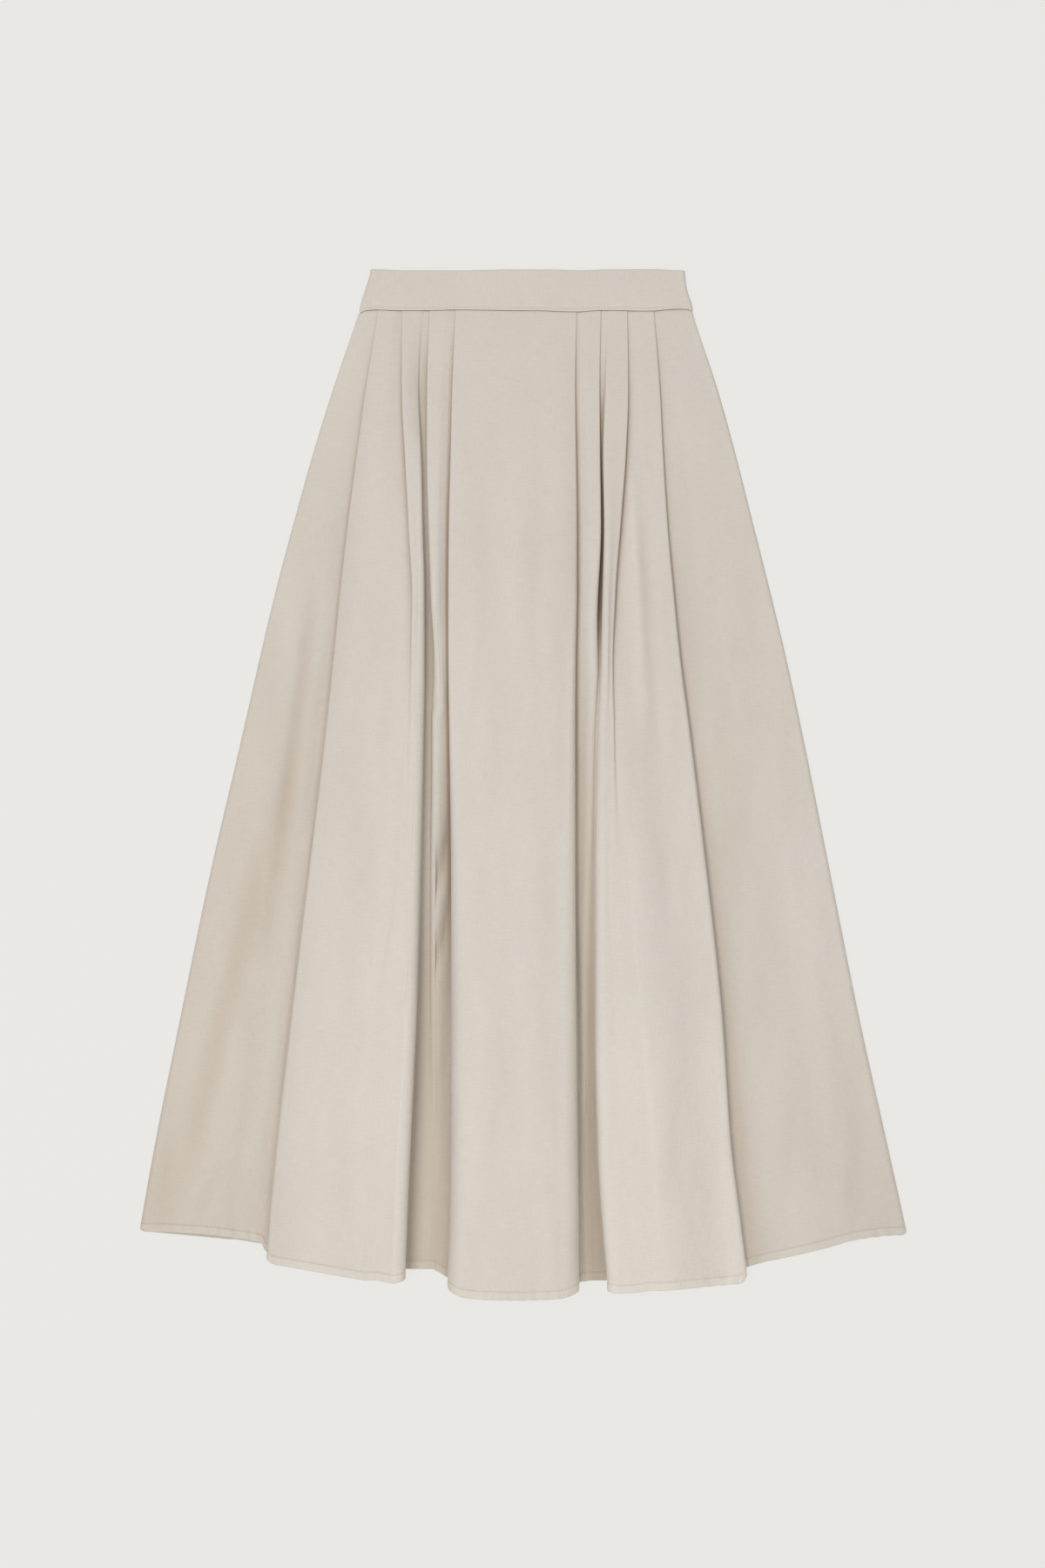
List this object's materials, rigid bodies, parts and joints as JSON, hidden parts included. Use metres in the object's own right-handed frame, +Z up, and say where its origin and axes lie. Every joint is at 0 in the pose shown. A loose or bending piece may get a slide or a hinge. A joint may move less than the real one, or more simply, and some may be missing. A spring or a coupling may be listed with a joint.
{
  "type": "pleated maxi skirt laid flat",
  "caption": "Ankle-length A-line cotton skirt with a plain waistband and outward-facing knife pleats that open into soft folds, laid flat with its front up.",
  "frame": {"origin": "on the surface that the skirt lies on, at the middle of the laid skirt's box", "axes": "+Y from the hem to the waistband, +X to the right of someone who looks down on the front, +Z up out of the cloth"},
  "size_m": [0.7769, 1.04, 0.0365],
  "materials": {
    "skirt_cloth": "matt woven cotton in warm stone, fine twill, softly pressed",
    "band_cloth": "the same cotton, folded double over a firm interlining and stitched along its lower edge",
    "zip_tape": "woven polyester tape with a coil, dyed to match"
  },
  "bodies": {
    "root": {"front_panel": "skirt_cloth", "back_panel": "skirt_cloth", "waistband_front": "band_cloth", "waistband_back": "band_cloth", "side_zip": "zip_tape"}
  },
  "joints": []
}
